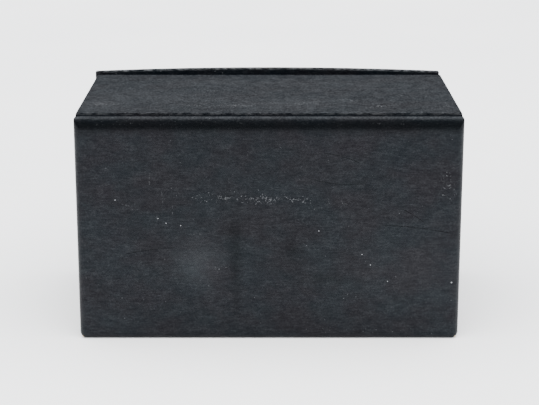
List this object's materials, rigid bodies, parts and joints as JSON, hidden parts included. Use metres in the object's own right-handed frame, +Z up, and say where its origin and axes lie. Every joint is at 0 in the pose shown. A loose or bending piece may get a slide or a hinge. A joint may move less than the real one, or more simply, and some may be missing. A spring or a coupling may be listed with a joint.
{
  "type": "archival box",
  "caption": "Cloth-covered archival storage box with a thick rounded spine panel, a lid on a cloth hinge, and a fore-edge flap that closes over a lined tray.",
  "frame": {"origin": "centre of the closed case's footprint, from the spine's outer face to the tray's face under the flap, on the surface that the box stands on", "axes": "+X along the box's length, +Y from the spine panel to the flap, +Z up"},
  "size_m": [0.3146, 0.1922, 0.1932],
  "materials": {
    "book_cloth": "matte woven book cloth, acrylic coated",
    "binders_board": "matte grey binder's board",
    "lining_paper": "matte acid-free lining paper",
    "poplar_wood": "planed and glued",
    "nickel_plated_steel": "satin nickel plate",
    "zinc_plated_steel": "zinc plate",
    "neodymium_magnet": "nickel plate",
    "label_card_stock": "matte card",
    "black_leather": "satin"
  },
  "bodies": {
    "case": {"spine_panel": "poplar_wood", "spine_cloth": "book_cloth", "base_board": "binders_board", "base_cloth": "book_cloth", "base_lining": "lining_paper", "tray_floor": "binders_board", "tray_back_wall": "binders_board", "tray_front_wall": "binders_board", "tray_left_wall": "binders_board", "tray_right_wall": "binders_board", "tray_cloth": "book_cloth", "floor_lining": "lining_paper", "back_lining": "lining_paper", "front_lining": "lining_paper", "left_lining": "lining_paper", "right_lining": "lining_paper", "tray_closure_plates": "zinc_plated_steel", "lid_joint_cloth": "book_cloth"},
    "lid": {"lid_board": "binders_board", "lid_cloth": "book_cloth", "lid_lining": "lining_paper", "flap_joint_cloth": "book_cloth"},
    "flap": {"flap_board": "binders_board", "flap_cloth": "book_cloth", "flap_lining": "lining_paper", "flap_magnets": "neodymium_magnet", "label_holder": "nickel_plated_steel", "label_holder_rivets": "nickel_plated_steel", "pull_tab": "black_leather", "pull_tab_rivet": "nickel_plated_steel"},
    "card": {"label_card": "label_card_stock"}
  },
  "joints": [
    {"name": "lid_hinge", "type": "hinge", "parent": "case", "child": "lid", "pos_m": [0, -0.07825, 0.1866], "axis": [1, 0, 0], "range_deg": [0, 180], "deforming": ["lid_joint_cloth"]},
    {"name": "flap_hinge", "type": "hinge", "parent": "lid", "child": "flap", "pos_m": [0, 0.09115, 0.1866], "axis": [1, 0, 0], "range_deg": [0, 95], "deforming": ["flap_joint_cloth"]},
    {"name": "label_card_slide", "type": "slide", "parent": "flap", "child": "card", "axis": [0, 0, 1], "range_m": [0, 0.05]}
  ]
}
